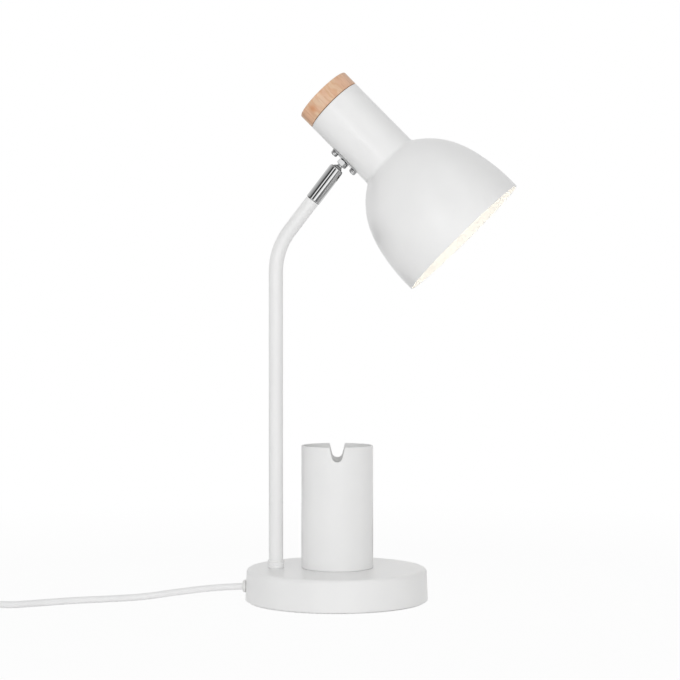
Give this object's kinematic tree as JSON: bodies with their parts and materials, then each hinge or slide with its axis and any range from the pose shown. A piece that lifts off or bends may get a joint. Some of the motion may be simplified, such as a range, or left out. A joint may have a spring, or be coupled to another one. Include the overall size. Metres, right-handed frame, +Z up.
{
  "type": "desk lamp",
  "caption": "Lit desk lamp with a bell shade on a slotted ball joint, a bent stem, a round weighted base with a pen cup, and a cord with switch and plug.",
  "frame": {"origin": "centre of the foot pad underside, on the table", "axes": "+Z up, +X towards the lit side (the stem stands at -X), +Y towards the back notch of the pen cup"},
  "size_m": [0.5809, 0.1488, 0.4296],
  "materials": {
    "white_paint": "smooth matt powder coat",
    "cast_iron": "as cast",
    "zinc_steel": "zinc plated",
    "chrome": "polished",
    "spring_steel": "plain",
    "brass": "turned",
    "beech": "clear satin lacquer",
    "foam": "closed-cell foam",
    "nylon": "moulded",
    "white_plastic": "fine texture",
    "cord_white": "smooth extruded",
    "holder_black": "moulded",
    "lead_sheath": "extruded",
    "bulb_white": "moulded",
    "opal_globe": "opal, lit from inside",
    "tie_black": "extruded"
  },
  "bodies": {
    "base": {"base_cover": "white_paint", "base_weight": "cast_iron", "bottom_plate": "zinc_steel", "foot_pad": "foam", "bottom_screws": "zinc_steel", "cord_bush": "white_plastic", "pen_cup": "white_paint", "cup_screw": "zinc_steel", "cup_washer": "zinc_steel", "cup_nut": "zinc_steel", "stem_tube": "white_paint", "stem_nipple": "zinc_steel", "stem_washer": "zinc_steel", "stem_nut": "zinc_steel", "stem_collar": "white_paint", "stem_lead": "lead_sheath", "stem_spigot": "chrome", "pivot_screw": "zinc_steel", "power_cord": "cord_white", "cord_coil": "cord_white", "coil_tie": "tie_black", "plug_lead": "cord_white", "switch_lower": "white_plastic", "switch_upper": "white_plastic", "plug_body": "white_plastic", "plug_pins": "zinc_steel"},
    "sleeve": {"joint_sleeve": "chrome", "seat_spring": "spring_steel", "ball_seat": "nylon"},
    "stud": {"ball_stud": "chrome", "stud_nut": "chrome"},
    "head": {"mount_plate": "chrome", "nut_strip": "zinc_steel", "plate_screws": "chrome", "shade": "white_paint", "wood_cap": "beech", "cap_insert": "brass", "holder_nipple": "zinc_steel", "nipple_nuts": "zinc_steel", "lampholder": "holder_black", "holder_thread": "brass", "holder_contact": "brass", "head_lead": "lead_sheath", "bulb_contact": "brass", "bulb_cap": "zinc_steel", "bulb_housing": "bulb_white", "bulb_globe": "opal_globe"},
    "rocker": {"switch_rocker": "white_plastic"}
  },
  "joints": [
    {"name": "sleeve_pan", "type": "hinge", "parent": "base", "child": "sleeve", "pos_m": [-0.01981, 0, 0.32538], "axis": [0.606, 0, 0.7955], "range_deg": [-170, 170]},
    {"name": "head_tilt", "type": "hinge", "parent": "sleeve", "child": "stud", "pos_m": [-0.00102, 0, 0.35004], "axis": [0.1381, 0.9848, -0.1052], "range_deg": [-35, 50]},
    {"name": "head_spin", "type": "hinge", "parent": "stud", "child": "head", "pos_m": [-0.00102, 0, 0.35004], "axis": [0.7163, 0, 0.6978], "range_deg": [-170, 170]},
    {"name": "switch_rock", "type": "hinge", "parent": "base", "child": "rocker", "pos_m": [-0.322, -0.06, 0.0109], "axis": [0, 1, 0], "range_deg": [-14, 0]}
  ]
}
